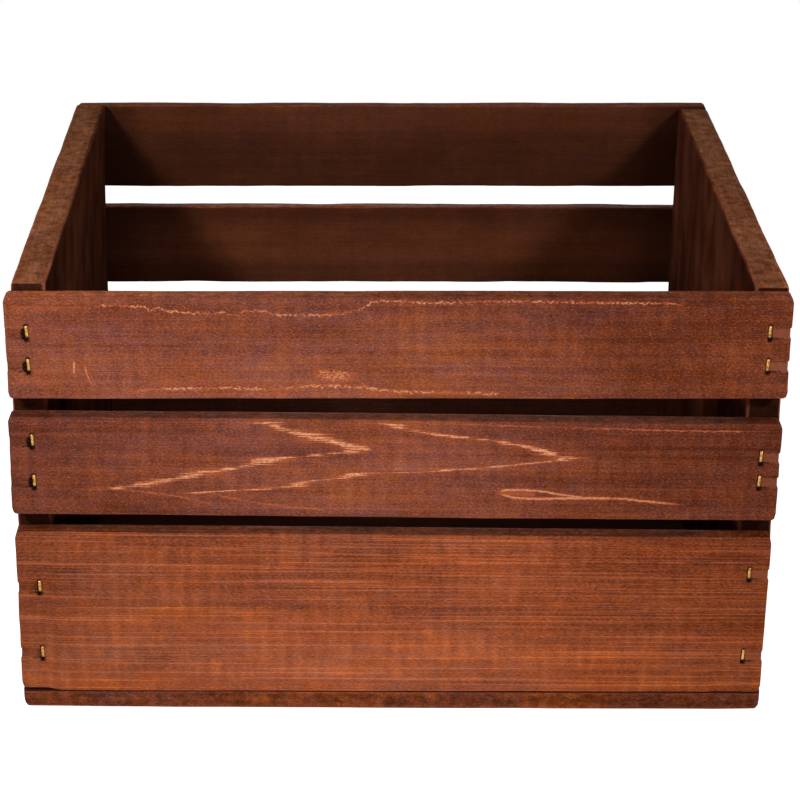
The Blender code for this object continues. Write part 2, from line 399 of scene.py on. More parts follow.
@dataclass(frozen=True)
class Tear:
    """The noises that break up a drawn line, each 0 to 1.

    Attributes:
        fibres: Differs from fibre to fibre, and hardly along them.
        jags: Short steps along the board.
        gaps: Where lines fade along the board.
        dots: Breaks a line up into dots.
        dashes: Breaks a line up into long thin dashes.
    """

    fibres: Socket
    jags: Socket
    gaps: Socket
    dots: Socket
    dashes: Socket


@dataclass(frozen=True)
class Streak:
    """A bright line of late wood that runs along a board.

    Attributes:
        points: Points of the line (along, across) in millimetres, from left to right.
        width: Its half width.
        strength: How bright it is, 0 to 1.
        ragged: How far it strays in short steps.
        fade: The length over which it fades out at each end.
        dashed: How much it is broken up into dashes, 0 to 1.
        beaded: How much it is broken up into dots, 0 to 1.
    """

    points: tuple[Point, ...]
    width: float = 0.5
    strength: float = 0.7
    ragged: float = 0.8
    fade: float = 6.0
    dashed: float = 0.6
    beaded: float = 0.85

    def draw(self, graph: BoardFinish, tear: Tear) -> Socket:
        """Draws the line.

        Args:
            graph: The material's graph.
            tear: The noises that break it up.

        Returns:
            How bright the line is there, 0 to 1.
        """
        along, _, across = graph.place
        first, last = self.points[0][0], self.points[-1][0]
        off = graph.math("SUBTRACT", across, graph.line(along, self.points))
        stray = graph.swing(tear.jags, self.ragged * 2)
        away = graph.math("ABSOLUTE", graph.total(off, stray))
        shown = graph.times(
            graph.smooth(along, first, first + self.fade),
            graph.smooth(along, last, last - self.fade),
            graph.part(graph.smooth(tear.gaps, 0.38, 0.58), self.dashed),
            graph.part(tear.dots, self.beaded),
        )
        return graph.times(
            graph.stroke(away, self.width, self.width * 3.5, 0.2), shown, self.strength
        )


@dataclass(frozen=True)
class Fold:
    """A bright line of late wood that zigzags across a board's face.

    Attributes:
        points: Points of the line (across, along) in millimetres, from the lower edge up.
        width: Its half width along the board.
        strength: How bright it is, 0 to 1.
        ragged: How far single fibres stray along the board.
        swell: How much wider it gets in places.
        fade: The height over which it fades in from its lower end.
        stop: The height over which it fades out at its upper end.
        beaded: How much it is broken up into dots, 0 to 1.
    """

    points: tuple[Point, ...]
    width: float = 3.0
    strength: float = 0.9
    ragged: float = 20.0
    swell: float = 1.6
    fade: float = 9.0
    stop: float = 0.6
    beaded: float = 0.45

    def draw(self, graph: BoardFinish, tear: Tear) -> Socket:
        """Draws the line.

        Args:
            graph: The material's graph.
            tear: The noises that break it up.

        Returns:
            How bright the line is there, 0 to 1.
        """
        along, _, across = graph.place
        low, high = self.points[0][0], self.points[-1][0]
        off = graph.math("SUBTRACT", along, graph.line(across, self.points))
        stray = graph.swing(tear.fibres, self.ragged * 2)
        away = graph.math("ABSOLUTE", graph.total(off, stray))
        broad = graph.times(graph.smooth(tear.gaps, 0.38, 0.6), self.swell)
        away = graph.math("DIVIDE", away, graph.total(broad, 0.5))
        shown = graph.times(
            graph.smooth(across, low - self.fade / 2, low + self.fade),
            graph.smooth(across, high + self.stop / 2, high - self.stop / 2),
            tear.dashes, graph.part(tear.dots, self.beaded),
        )
        return graph.times(
            graph.stroke(away, self.width, self.width * 3.0, 0.3), shown, self.strength
        )


class Figure(Enum):
    """How a board was sawn from the log, as the noise whose contours are its rings."""

    STRAIGHT = Texture(0.0028, 0.05, 0.42, 3.0)
    FLAT = Texture(0.0060, 0.05, 0.10, 3.0)
    FOLDED = Texture(0.0050, 0.05, 0.30, 3.0)


@dataclass(frozen=True)
class Grain:
    """How strongly each kind of grain shows.

    Attributes:
        streak: Long fibres along the board.
        fleck: Short flecks along the board.
        speck: Fine specks.
        band: Broad stripes along the board.
        blotch: Uneven soaking of the stain.
        chatter: Planer marks across the board.
        ring: Faint growth rings.
        hue: Drift of the stain between orange and violet.
        fineness: How many long fibres there are across the board, against the usual.
        gleam: Thin light fibres along the board.
        pore: Thin dark fibres along the board.
        stripe: Drift of the stain from stripe to stripe across the board.
    """

    streak: float = 0.35
    fleck: float = 0.45
    speck: float = 0.9
    band: float = 0.4
    blotch: float = 0.6
    chatter: float = 0.15
    ring: float = 0.2
    hue: float = 1.0
    fineness: float = 1.0
    gleam: float = 0.08
    pore: float = 0.14
    stripe: float = 0.3


@dataclass(frozen=True)
class StainedPine:
    """Red-brown stain on pine, which took it unevenly: orange here, violet-brown there.

    Attributes:
        name: The material's name.
        figure: How the boards were sawn.
        grain: How strongly each kind of grain shows.
        lines: Bright lines drawn on the face.
        orange: Dark, middle and light colour where the stain is orange.
        violet: Dark, middle and light colour where it is violet-brown.
        late: Colours of the bright lines at their edge and in their middle.
        along: How much lighter the board is at places along it (along, lighter); partly stain and
            partly painted light and shade: the front slats and the floor darker towards the right
            end, the end boards lighter at the back end and the left one darker at its front end.
        painted_low_light: Painted light: how much lighter the board gets towards its lower edge, as
            if lit from the floor below.
        warms: How much more orange the board gets towards its right end.
        roughness: How matt the stain is.
        gloss: The shader's specular level.
        edge: How light the sawn edges are, against the faces.
        grain_end: How light the end grain is, against the faces.
        inner: Colour of the unplaned inner faces: partly their own duller stain, partly painted
            shade of the crate's inside.
        saw: How strongly saw marks show across the inner faces.
        shade: Painted light and shade on the inner faces: how light they are at heights across the
            board (across, lightness).
        depth: Painted light and shade on the inner faces: how light they are at places along the
            board (along, lightness).
    """

    name: str
    figure: Figure
    grain: Grain = Grain()
    lines: tuple[Union[Streak, Fold], ...] = ()
    orange: tuple = (srgb(98, 42, 17), srgb(152, 77, 37), srgb(198, 108, 54))
    violet: tuple = (srgb(77, 41, 38), srgb(122, 71, 67), srgb(164, 102, 94))
    late: tuple = (srgb(196, 100, 58), srgb(232, 160, 118))
    along: tuple[Point, ...] = ((-160, 0.0), (160, 0.0))
    painted_low_light: float = 0.0
    warms: float = 0.0
    roughness: float = 0.66
    gloss: float = 0.03
    edge: float = 0.9
    grain_end: tuple = srgb(84, 72, 60)
    inner: tuple = srgb(78, 40, 22)
    saw: float = 0.3
    shade: tuple[Point, ...] = ()
    depth: tuple[Point, ...] = ()

    def material(self) -> bpy.types.Material:
        """Builds the material."""
        graph = BoardFinish(self.name)
        fine = self.grain.fineness
        streak = graph.figure(Texture(0.03, 1.2 * fine, 1.5 * fine, 3.0))
        fleck = graph.figure(FLECK)
        speck = graph.figure(Texture(0.8 * fine, 1.7, 1.9))
        late = self._late(graph)
        wood = self._stain(graph, self._tone(graph, streak, fleck, speck))
        wood = graph.blend(graph.smooth(late, 0.0, 0.5), wood, self.late[0])
        wood = graph.blend(graph.smooth(late, 0.4, 1.0), wood, self.late[1])
        rough = graph.total(graph.swing(fleck, 0.3), self.roughness)
        graph.coat(self._weather(graph, wood), rough)
        relief = graph.total(
            graph.swing(streak, 0.5), graph.swing(fleck, 0.4), graph.swing(speck, 0.4),
            graph.times(late, 0.3),
        )
        graph.bump(relief, 0.2, 0.25 * MM)
        graph.shader.inputs["Specular IOR Level"].default_value = self.gloss
        return graph.material

    def _tone(self, graph: BoardFinish, streak: Socket, fleck: Socket, speck: Socket) -> Socket:
        """Works out how light the wood is.

        Args:
            graph: The material's graph.
            streak: The noise of the long fibres.
            fleck: The noise of the short flecks.
            speck: The noise of the specks.

        Returns:
            The tone, about 0 to 1.
        """
        grain = self.grain
        along, _, across = graph.place
        blotch = graph.figure(BLOTCH)
        swings = (
            (streak, grain.streak), (fleck, grain.fleck), (speck, grain.speck * 0.8),
            (graph.figure(BAND), grain.band), (blotch, grain.blotch),
            (graph.figure(PATCH), grain.blotch * 0.7), (graph.figure(CHATTER), grain.chatter),
        )
        ripple = graph.math("SINE", graph.times(along, 2 * math.pi / PLANER_STEP))
        marks = (
            (graph.smooth(graph.figure(PORE), 0.36, 0.28), -grain.pore),
            (graph.times(ripple, graph.smooth(blotch, 0.36, 0.6)), grain.chatter * 0.2),
            (graph.smooth(graph.figure(GLEAM), 0.54, 0.63), grain.gleam),
            (graph.smooth(speck, 0.56, 0.72), grain.speck * 0.2),
        )
        # Painted light: lighter towards the board's lower edge
        painted_low_light = graph.times(graph.smooth(across, 30.0, -30.0), self.painted_low_light)
        return graph.total(
            0.5, *(graph.swing(*term) for term in swings), *(graph.times(*term) for term in marks),
            graph.line(along, self.along), painted_low_light,
        )

    def _late(self, graph: BoardFinish) -> Socket:
        """Draws the bright late wood: faint rings all over and the lines of this board.

        Args:
            graph: The material's graph.

        Returns:
            How much late wood shows, from 0.
        """
        contour = graph.figure(self.figure.value)
        gaps = [graph.math("SUBTRACT", contour, level) for level in RING_LEVELS]
        rings = [graph.smooth(graph.math("ABSOLUTE", gap), 0.035, 0.002) for gap in gaps]
        dots = graph.smooth(graph.figure(DOT), 0.4, 0.56)
        late = graph.times(graph.highest(*rings), graph.part(dots, 0.8), self.grain.ring)
        dashes = graph.part(graph.smooth(graph.figure(DASH), 0.36, 0.56), 0.75)
        tear = Tear(graph.figure(FIBRE), graph.figure(JAG), graph.figure(GAP), dots, dashes)
        lines = (line.draw(graph, tear) for line in self.lines)
        return graph.times(graph.highest(late, *lines), LATE_GAIN)

    def _stain(self, graph: BoardFinish, tone: Socket) -> Socket:
        """Colours the wood of the faces.

        Args:
            graph: The material's graph.
            tone: How light the wood is.

        Returns:
            The wood's colour.
        """
        tone = graph.times(tone, TONE_SCALE)
        ramps = []
        for dark, middle, light in (self.orange, self.violet):
            bright = tuple(2 * high - low for low, high in zip(middle, light))
            ramps.append(graph.ramp(tone, list(zip(TONE_STOPS, (dark, middle, light, bright)))))
        hue = self.grain.hue
        weights = {
            HUE_GRIT: 3.4 * hue, HUE_PATCH: 1.6 * hue, HUE_DRIFT: 1.4 * hue,
            HUE_STRIPE: self.grain.stripe,
        }
        drift = (
            graph.swing(graph.figure(texture, HUE_SHIFT), weight)
            for texture, weight in weights.items()
        )
        warms = graph.times(graph.smooth(graph.place[0], 0.0, 130.0), -self.warms)
        return graph.blend(graph.smooth(graph.total(0.5, *drift, warms), -0.25, 1.25), *ramps)

    def _weather(self, graph: BoardFinish, wood: Socket) -> Socket:
        """Dulls the sawn edges and the ends, colours the inner faces with their own duller stain
        and with painted light and shade, and marks the stapled spots with stain, wear and painted
        shade.

        Args:
            graph: The material's graph.
            wood: The colour of the faces.

        Returns:
            The board's colour.
        """
        stops = ((0.36, srgb(198, 194, 168)), (0.62, srgb(255, 250, 236)))
        rough = graph.tint(wood, graph.ramp(graph.figure(KERF), stops))
        rough = graph.tint(rough, (self.edge, self.edge, self.edge, 1.0))
        wood = graph.blend(graph.attribute("sawn"), wood, rough)
        wood = graph.blend(graph.attribute("ends"), wood, graph.tint(wood, self.grain_end))
        # Inner faces: their own duller stain, made darker still as painted shade of the crate's
        # inside
        inner_stain_and_shade = graph.blend(0.6, graph.tint(wood, srgb(137, 139, 137)), self.inner)
        stops = ((0.36, srgb(190, 178, 178)), (0.64, srgb(255, 250, 250)))
        teeth = graph.ramp(graph.figure(SAW_TOOTH), stops)
        inner_stain_and_shade = graph.blend(self.saw, inner_stain_and_shade, graph.tint(inner_stain_and_shade, teeth))
        # Painted light and shade on the inner faces, across and along the board
        for value, points in ((graph.place[2], self.shade), (graph.place[0], self.depth)):
            if points:
                light = graph.line(value, points)
                inner_stain_and_shade = graph.tint(inner_stain_and_shade, graph.vector(light, light, light))
        ragged = graph.swing(graph.figure(SPLINTER), 1.4)
        inside = graph.smooth(graph.total(graph.attribute("inside"), ragged), 0.35, 0.65)
        wood = graph.blend(inside, wood, inner_stain_and_shade)
        pale = graph.blend(0.5, wood, srgb(176, 104, 76))
        wood = graph.blend(graph.attribute("bare"), wood, pale)
        # Staple marks: dark stain at the holes and painted shade in the slots, pits and recesses
        return graph.blend(graph.attribute("painted_shade_and_stain"), wood, srgb(16, 7, 5))


@dataclass(frozen=True)
class BrassWire:
    """Brass-coloured staple wire, tarnished in places.

    Attributes:
        name: The material's name.
        bright: Colour of the clean wire.
        tarnish: Colour of the dull patches.
    """

    name: str = "staple_brass"
    bright: tuple = srgb(214, 166, 92)
    tarnish: tuple = srgb(118, 80, 38)

    def material(self) -> bpy.types.Material:
        """Builds the material."""
        graph = Finish(self.name)
        where = graph.add("TexCoord", {}).outputs["Object"]
        patches = graph.noise(graph.scale(where, 1.1 / MM), 3.0, 0.6)
        colour = graph.ramp(patches, ((0.35, self.tarnish), (0.55, self.bright)))
        graph.coat(colour, graph.total(graph.swing(patches, 0.4), 0.44))
        graph.shader.inputs["Metallic"].default_value = 1.0
        graph.bump(patches, 0.2, 0.05 * MM)
        return graph.material


def to_mesh(bm: bmesh.types.BMesh, name: str) -> bpy.types.Mesh:
    """Turns a shape into a mesh.

    Args:
        bm: The shape, which is freed.
        name: The mesh's name.

    Returns:
        The mesh.
    """
    mesh = bpy.data.meshes.new(name)
    bm.to_mesh(mesh)
    bm.free()
    return mesh


def show(mesh: bpy.types.Mesh, name: str, material: bpy.types.Material) -> bpy.types.Object:
    """Puts a mesh into the scene.

    Args:
        mesh: The mesh, in its place.
        name: The object's name.
        material: Its finish.

    Returns:
        The object.
    """
    mesh.materials.append(material)
    piece = bpy.data.objects.new(name, mesh)
    bpy.context.scene.collection.objects.link(piece)
    return piece


class Looks(Enum):
    """Which way a board's outer face looks, as the axes of its board frame."""

    FRONT = ((1, 0, 0), (0, 1, 0), (0, 0, 1))
    BACK = ((-1, 0, 0), (0, -1, 0), (0, 0, 1))
    DOWN = ((1, 0, 0), (0, 0, 1), (0, -1, 0))
    LEFT = ((0, -1, 0), (1, 0, 0), (0, 0, 1))
    RIGHT = ((0, 1, 0), (-1, 0, 0), (0, 0, 1))

    def turn(self) -> Matrix:
        """Gives the turn from the board frame to the crate."""
        return Matrix(self.value).transposed().to_4x4()


@dataclass(frozen=True)
class StaplerMark:
    """Where a staple enters a board, in the board frame.

    Attributes:
        x: Its place along the board.
        z: Its place across the board.
        side: -1 or 1, the way to the nearer end.
    """

    x: float
    z: float
    side: int


@dataclass
class Board:
    """A worn board that stands for one node of the frame.

    Attributes:
        node: The node.
        length: Its size along the grain.
        height: Its size across the grain.
        thickness: Its thickness.
        looks: Which way its outer face looks.
        slot: A material slot's name, which is not used.
        rise: How much higher its right end is than its left one.
        toe: How much further in its right end is than its left one.
        cup: How far its middle bulges outwards.
        corner: Radius of its corners, as seen on its face.
        arris: Radius of its edges.
        ragged: How uneven that radius is.
        splinter: How far the inner face's colour strays over its edges.
        blunt: Radius of the ends' outer edges, where it is larger.
        sag: How far its lower edge hangs down at places along it (along, down), in millimetres.
        thin: How much thinner it is at places along it (along, thinner), in millimetres.
        waver: How far its edges stray from straight.
        seed: Which of all such boards it is.
        marks: The staples in it, by node.
        nose_height: Height of the mark that the stapler's nose leaves.
        nose_depths: Depth of that mark at the left and at the right end.
        smear: How dark the painted shade is in the pit beside its left staples.
        crown: Width of a staple's crown.
        wire: Width of its wire.
    """

    node: str
    length: float
    height: float
    thickness: float
    looks: Looks
    slot: str
    rise: float = 0.0
    toe: float = 0.0
    cup: float = 0.0
    corner: float = 2.2 * MM
    arris: float = 0.5 * MM
    ragged: float = 0.3
    splinter: float = 0.8 * MM
    blunt: float = 0.0
    sag: tuple[Point, ...] = ((0.0, 0.0),)
    thin: tuple[Point, ...] = ((0.0, 0.0),)
    waver: float = 0.07 * MM
    seed: int = 0
    marks: dict[str, StaplerMark] = field(default_factory=dict)
    nose_height: float = 4.6 * MM
    nose_depths: tuple[float, float] = (0.6 * MM, 0.6 * MM)
    smear: float = 0.95
    crown: float = 5.7 * MM
    wire: float = 1.25 * MM

    def place(self) -> Matrix:
        """Gives the board frame's place in the crate, with its origin on the outer face."""
        low, high = (Vector(corner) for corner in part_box(self.node))
        turn = self.looks.turn()
        tilt = Matrix.Rotation(-math.atan2(self.rise, self.length), 4, "Y")
        tilt = tilt @ Matrix.Rotation(math.atan2(self.toe, self.length), 4, "Z")
        centre = Matrix.Translation((low + high) / 2)
        return centre @ turn @ tilt @ Matrix.Translation((0, -self.thickness / 2, 0))

    def find_marks(self, nodes: Sequence[str]) -> None:
        """Notes where the staples of this board are.

        Args:
            nodes: The names of all nodes.
        """
        back = self.place().inverted()
        for name in nodes:
            if name.startswith(f"{self.node}_staple_"):
                low, high = (Vector(corner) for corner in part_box(name))
                spot = back @ ((low + high) / 2)
                self.marks[name] = StaplerMark(spot.x, spot.z, 1 if spot.x > 0 else -1)

    def build(self, material: bpy.types.Material) -> bpy.types.Object:
        """Builds the board and puts it in place of its node.

        Args:
            material: Its finish.

        Returns:
            The board's object.
        """
        mesh = to_mesh(self._block(), self.node)
        flat = np.empty(len(mesh.vertices) * 3)
        mesh.vertices.foreach_get("co", flat)
        plain = flat.reshape(-1, 3)
        shaped, painted_shade_and_stain, bare = self._worn(plain)
        self._write_attributes(mesh, plain, painted_shade_and_stain, bare)
        mesh.vertices.foreach_set("co", shaped.ravel())
        mesh.transform(self.place())
        mesh.shade_smooth()
        board = show(mesh, f"worn_{self.node}", material)
        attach(board, "root")
        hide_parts(self.node)
        return board

    def _stops(
        self, half: float, fine: Sequence[tuple[float, float]], fine_step: float, step: float
    ) -> np.ndarray:
        """Spaces grid lines along one axis: close at the edges and in the fine stretches.

        Args:
            half: Half the size along the axis.
            fine: Stretches that get close lines.
            fine_step: The spacing there.
            step: The spacing elsewhere.

        Returns:
            The lines' places, from -half to half.
        """
        rim = [self.arris * (1 - math.tan(math.radians(turn))) for turn in (45, 30, 15, 0)]
        inner = half - rim[-1]
        bounds = {-inner, inner}
        for low, high in fine:
            bounds |= {min(max(low, -inner), inner), min(max(high, -inner), inner)}
        ordered = sorted(bounds)
        lines: list[float] = [-half + depth for depth in rim[:-1]]
        for low, high in zip(ordered, ordered[1:]):
            middle = (low + high) / 2
            close = any(start <= middle <= stop for start, stop in fine)
            count = max(1, math.ceil((high - low) / (fine_step if close else step)))
            lines += list(np.linspace(low, high, count, endpoint=False))
        return np.array(lines + [inner] + [half - depth for depth in reversed(rim[:-1])])

    def _block(self) -> bmesh.types.BMesh:
        """Builds the plain block with its grid lines, in the board frame."""
        fine, reach, end_zone = 0.38 * MM, 7.0 * MM, 14.0 * MM
        high_zones = [(mark.z - reach, mark.z + reach) for mark in self.marks.values()]
        half = self.length / 2
        end_zones = [(-half, -half + end_zone), (half - end_zone, half)] if self.marks else []
        stops = (
            self._stops(half, end_zones, fine, 3.0 * MM),
            self._stops(self.thickness / 2, [], MM, MM) + self.thickness / 2,
            self._stops(self.height / 2, high_zones, fine, 2.6 * MM),
        )
        bm = bmesh.new()
        bmesh.ops.create_cube(bm, size=2)
        for axis, lines in enumerate(stops):
            edges = [
                edge for edge in bm.edges
                if abs(edge.verts[0].co[axis] - edge.verts[1].co[axis]) > 1
            ]
            bmesh.ops.subdivide_edges(bm, edges=edges, cuts=len(lines) - 2, use_grid_fill=True)
        for vert in bm.verts:
            for axis, lines in enumerate(stops):
                vert.co[axis] = lines[round((vert.co[axis] + 1) / 2 * (len(lines) - 1))]
        bmesh.ops.recalc_face_normals(bm, faces=bm.faces)
        return bm

    def _worn(self, plain: np.ndarray) -> tuple[np.ndarray, np.ndarray, np.ndarray]:
        """Rounds, wavers and dents the block.

        Args:
            plain: The block's vertices.

        Returns:
            The worn vertices, how dark the stain and painted shade of the dents make each, and how
            bare.
        """
        x, y, z = (plain[:, axis].copy() for axis in range(3))
        x, z, inset_x, inset_z, edge = self._round_corners(x, z)
        bite = Wobble(self.ragged, *BITE_WAVES, self.seed + 5).at(x + 2 * z + 3 * y)
        radius = self.arris * np.clip(1 + bite, 0.4, 2.2)
        outer_end = np.abs(inset_x) * (y < self.thickness / 2)
        radius = radius + np.maximum(self.blunt - radius, 0) * outer_end
        near = np.minimum(y, self.thickness - y)
        rounded = (edge < radius) & (near < radius)
        off_edge, off_face = edge - radius, near - radius
        reach = np.maximum(np.hypot(off_edge, off_face), 1e-9)
        pull_in = np.where(rounded, radius + off_edge * radius / reach - edge, 0)
        sink = np.where(rounded, radius + off_face * radius / reach - near, 0)
        x = x + inset_x * pull_in
        z = z + inset_z * pull_in
        y = np.where(y < self.thickness / 2, y + sink, y - sink)
        upper = Wobble(self.waver, *OUTLINE_WAVES, self.seed + 1).at(x)
        lower = Wobble(self.waver, *OUTLINE_WAVES, self.seed + 2).at(x)
        share = z / self.height + 0.5
        places, drops = zip(*self.sag)
        lower = lower + np.interp(x / MM, places, drops) * MM
        z = z + upper * share - lower * (1 - share)
        ends = Wobble(self.waver, *END_WAVES, self.seed + 3).at(z + np.sign(x))
        x = x + ends * (2 * x / self.length) ** 9
        y, x, painted_shade_and_stain, bare = self._dent(x, y, z)
        places, losses = zip(*self.thin)
        y = y + np.interp(x / MM, places, losses) * MM * (1 - y / self.thickness)
        y = y - self.cup * (1 - (2 * z / self.height) ** 2)
        return (np.stack([x, y, z], axis=1), painted_shade_and_stain, bare)

    def _round_corners(
        self, x: np.ndarray, z: np.ndarray
    ) -> tuple[np.ndarray, np.ndarray, np.ndarray, np.ndarray, np.ndarray]:
        """Rounds the board's corners as seen on its face.

        Args:
            x: Places along the board.
            z: Places across the board.

        Returns:
            The new places along and across, the inward direction (along, across) and the distance
            to the outline.
        """
        half_x, half_z = self.length / 2, self.height / 2
        past_x = np.abs(x) - (half_x - self.corner)
        past_z = np.abs(z) - (half_z - self.corner)
        inside = (past_x > 0) & (past_z > 0)
        span = np.maximum(np.hypot(past_x, past_z), 1e-9)
        pull = np.where(inside, np.maximum(past_x, past_z) / span, 1)
        new_x = np.where(inside, np.sign(x) * (half_x - self.corner + past_x * pull), x)
        new_z = np.where(inside, np.sign(z) * (half_z - self.corner + past_z * pull), z)
        to_end, to_edge = half_x - np.abs(x), half_z - np.abs(z)
        edge = np.where(inside, self.corner - span * pull, np.minimum(to_end, to_edge))
        inward_x = np.where(to_end < to_edge, -np.sign(x), 0)
        inward_z = np.where(to_end < to_edge, 0, -np.sign(z))
        inward_x = np.where(inside, -np.sign(x) * past_x / span, inward_x)
        inward_z = np.where(inside, -np.sign(z) * past_z / span, inward_z)
        return (new_x, new_z, inward_x, inward_z, edge)

    def _dent(
        self, x: np.ndarray, y: np.ndarray, z: np.ndarray
    ) -> tuple[np.ndarray, np.ndarray, np.ndarray, np.ndarray]:
        """Presses the stapler's marks into the outer face.

        Args:
            x: Places along the board.
            y: Places into the board.
            z: Places across the board.

        Returns:
            The new places into and along the board, how dark the stain and painted shade of the
            marks are, and how bare.
        """
        outer = ease(y, 2.6 * MM, 0.9 * MM)
        painted_shade_and_stain, bare, deeper, inward = (np.zeros_like(x) for _ in range(4))
        for number, mark in enumerate(self.marks.values()):
            left = mark.side < 0
            out = (x - mark.x) * mark.side
            up = z - mark.z + 0.12 * MM * np.sin(out / MM * 1.7 + number)
            run = self.length / 2 - abs(mark.x)
            # The nose's mark runs from the staple to the board's end, and is deepest there
            half = self.nose_height / 2
            low = up + 0.5 * MM
            band = ease(np.abs(low), half + 0.3 * MM, half - 0.3 * MM)
            nose = band * ease(out, 0.2 * MM, 0.9 * MM)
            along = np.clip(out / run, 0, 1)
            press = self.nose_depths[0 if left else 1]
            deeper = np.maximum(deeper, nose * press * (0.3 + 0.5 * along + 0.3 * along**4))
            crush = ease(out, run - 1.6 * MM, run) * ease(y, 4.2 * MM, 1.0 * MM)
            inward = np.maximum(inward, band * crush * press * 0.4)
            # The crown lies in a slot
            slot = ease(np.abs(out), self.wire / 2 + 0.5 * MM, self.wire / 2 + 0.15 * MM)
            slot *= ease(np.abs(up), self.crown / 2 + 0.55 * MM, self.crown / 2 + 0.2 * MM)
            deeper = np.maximum(deeper, slot * MM)
            lower_end = np.hypot(out / 1.3, up + self.crown / 2 + 0.35 * MM)
            upper_end = np.hypot(out, up - self.crown / 2 - 0.25 * MM)
            left_side = ease(x - mark.x, 0, -0.4 * MM)
            # The pit left of the crown, which gets painted shade
            pit = np.hypot((x - mark.x + 1.3 * MM) / 1.1, (up + 0.5 * MM) / 2.2)
            ledge = ease(np.abs(low + half - 0.2 * MM), 0.55 * MM, 0.15 * MM) * ease(out, 0, MM)
            # Dark at both ends of the crown, to its left, in the pit and along the mark's lower
            # rim: stain at the holes, and painted shade in the slot, the pit, the left marks'
            # recess and under the rim
            stain = np.maximum.reduce([
                ease(lower_end, 1.5 * MM, 0.4 * MM), 0.8 * ease(upper_end, MM, 0.3 * MM),
                slot * left_side, self.smear * left * ease(pit, 1.4 * MM, 0.8 * MM),
                0.8 * ledge * ease(out, run * 0.9, run * 0.15), 0.25 * nose * left,
            ])
            patchy = 0.8 + 0.25 * np.sin(out / MM * 2.9 + number) * np.sin(up / MM * 3.7 + 1)
            painted_shade_and_stain = np.maximum(painted_shade_and_stain, np.clip(stain * patchy * 1.35, 0, 1) * outer)
            bare = np.maximum(bare, nose * (1 - slot) * outer * (0.0 if left else 0.75))
        return (y + deeper * outer, x - np.sign(x) * inward, painted_shade_and_stain, bare)

    def _write_attributes(
        self, mesh: bpy.types.Mesh, plain: np.ndarray, painted_shade_and_stain: np.ndarray, bare: np.ndarray
    ) -> None:
        """Writes what the finish reads: place in the board, kind of surface, dents with their stain
        and painted shade.

        Args:
            mesh: The board's mesh.
            plain: Its vertices before wear.
            painted_shade_and_stain: How dark the stain and painted shade of the dents make each.
            bare: How bare the dents make each.
        """
        x, y, z = (plain[:, axis] for axis in range(3))
        to_edge = self.height / 2 - np.abs(z)
        to_end = self.length / 2 - np.abs(x)
        near_face = np.minimum(y, self.thickness - y)
        reach = self.arris * 0.9
        sawn = ease(to_edge, reach, 0) * ease(near_face, 0, max(reach, 1.2 * MM))
        ends = ease(to_end, reach, 0) * ease(y, 0, reach)
        wide, close = 1.8 * self.arris, 0.4 * self.arris
        inner_arris = ease(to_end, wide, close) * ease(self.thickness - y, wide, close)
        ends = np.maximum(ends, inner_arris)
        inside = ease(y, self.thickness - self.splinter, self.thickness)
        values = {
            "sawn": sawn * (1 - ends), "ends": ends, "inside": inside, "painted_shade_and_stain": painted_shade_and_stain, "bare": bare,
            "plank": np.full(len(x), float(self.seed)),
        }
        for name, value in values.items():
            attribute = mesh.attributes.new(name, "FLOAT", "POINT")
            attribute.data.foreach_set("value", value.astype(np.float32))
        grain = mesh.attributes.new("grain", "FLOAT_VECTOR", "POINT")
        grain.data.foreach_set("vector", plain.astype(np.float32).ravel())


